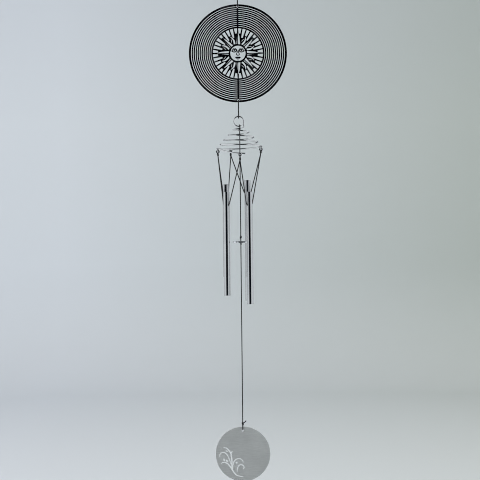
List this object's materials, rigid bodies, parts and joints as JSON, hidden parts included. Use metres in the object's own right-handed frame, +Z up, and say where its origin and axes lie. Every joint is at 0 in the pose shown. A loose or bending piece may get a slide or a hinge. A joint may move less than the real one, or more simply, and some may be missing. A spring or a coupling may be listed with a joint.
{
  "type": "wind spinner",
  "caption": "Hanging wind spinner: a laser-cut sun disc over a spiral wire hanger that carries chime tubes, a clapper and a round wind sail on cord.",
  "frame": {"origin": "inside top of the hanging ring, where the hook that holds it bears", "axes": "+Z up along the hanging line; +Y back, through the thickness of the disc, so the disc's front looks along -Y; +X to the right seen from the front"},
  "size_m": [0.1524, 0.0716, 0.7762],
  "materials": {
    "polished_steel": "polished",
    "polished_aluminium": "polished",
    "dark_steel": "dark, satin",
    "clapper_steel": "polished",
    "satin_steel": "satin, etched",
    "black_cord": "braided, matte"
  },
  "bodies": {
    "root": {"hanging_ring": "polished_steel", "hanging_cord": "black_cord", "spinner_disc": "dark_steel", "link_cord": "black_cord", "spiral_hanger": "polished_steel", "tube_front_left": "polished_aluminium", "tube_front_right": "polished_aluminium", "tube_back_right": "polished_aluminium", "tube_back_left": "polished_aluminium", "tube_cord": "black_cord", "centre_line": "black_cord", "clapper": "clapper_steel", "sail": "satin_steel"}
  },
  "joints": []
}
